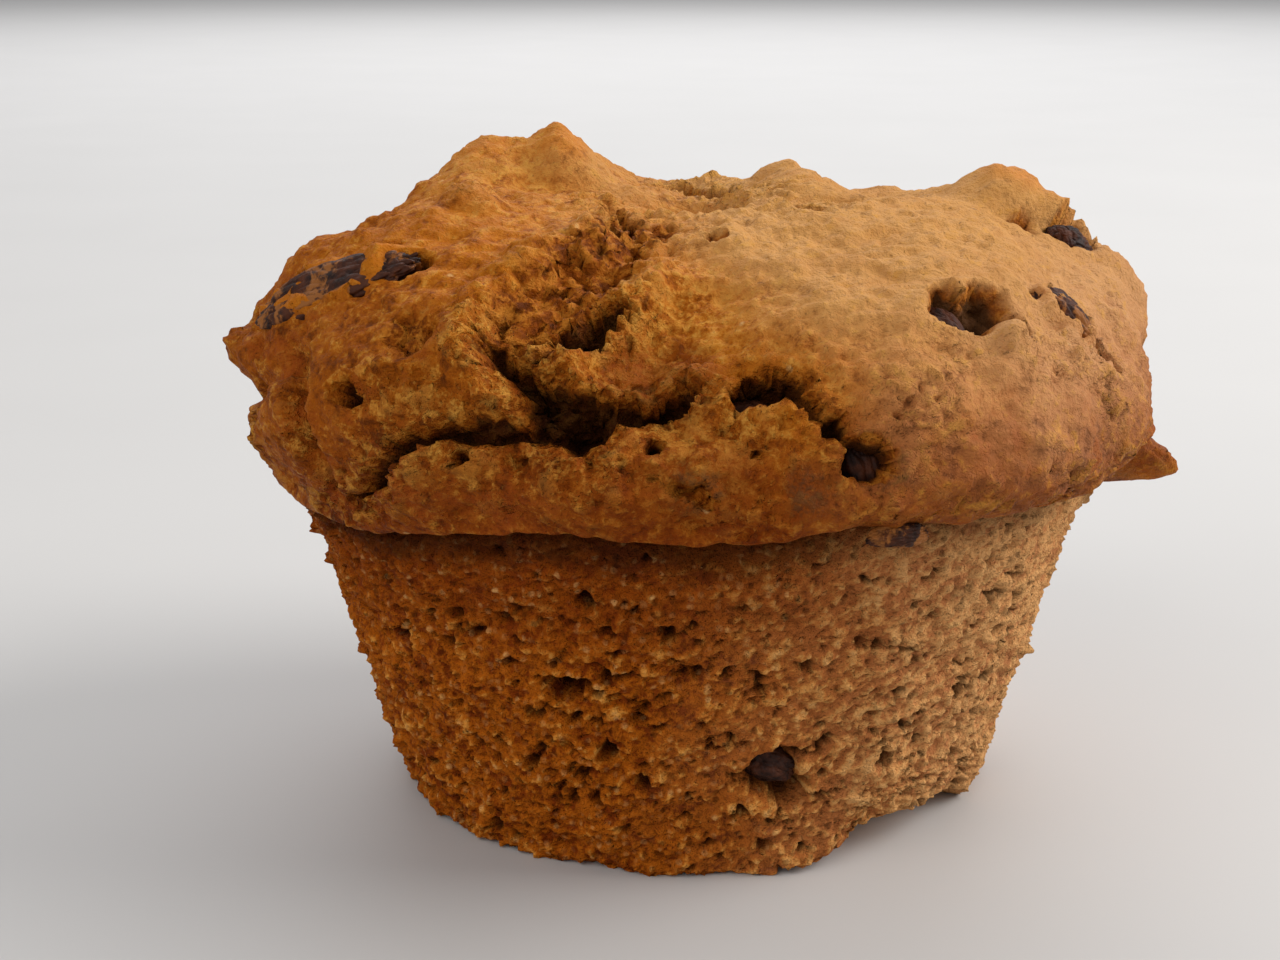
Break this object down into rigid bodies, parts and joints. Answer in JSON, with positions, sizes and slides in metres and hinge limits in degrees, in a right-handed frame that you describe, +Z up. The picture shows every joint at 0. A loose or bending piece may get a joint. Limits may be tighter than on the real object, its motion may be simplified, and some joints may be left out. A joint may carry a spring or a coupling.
{
  "type": "muffin",
  "caption": "Raisin muffin with a tapered cup of open crumb and a craggy, split, browned top that overhangs it.",
  "frame": {"origin": "centre of the flat base, on the surface that the muffin stands on", "axes": "+Z up, -Y towards the front that the picture shows, +X to the right seen from the front"},
  "size_m": [0.0797, 0.0767, 0.0564],
  "materials": {
    "crumb": "baked crumb: browned, dry and open-pored, lighter on the risen top",
    "raisin": "wrinkled dark purple-brown fruit skin with a dull shine"
  },
  "bodies": {
    "root": {"muffin": "crumb", "raisin_shoulder": "raisin", "raisin_centre": "raisin", "raisin_comma": "raisin", "raisin_socket": "raisin", "raisin_coated": "raisin", "raisin_crown": "raisin", "raisin_lip": "raisin", "raisin_back_left": "raisin", "raisin_back": "raisin", "raisin_back_right": "raisin", "raisin_cup": "raisin", "raisin_cup_back": "raisin"}
  },
  "joints": []
}
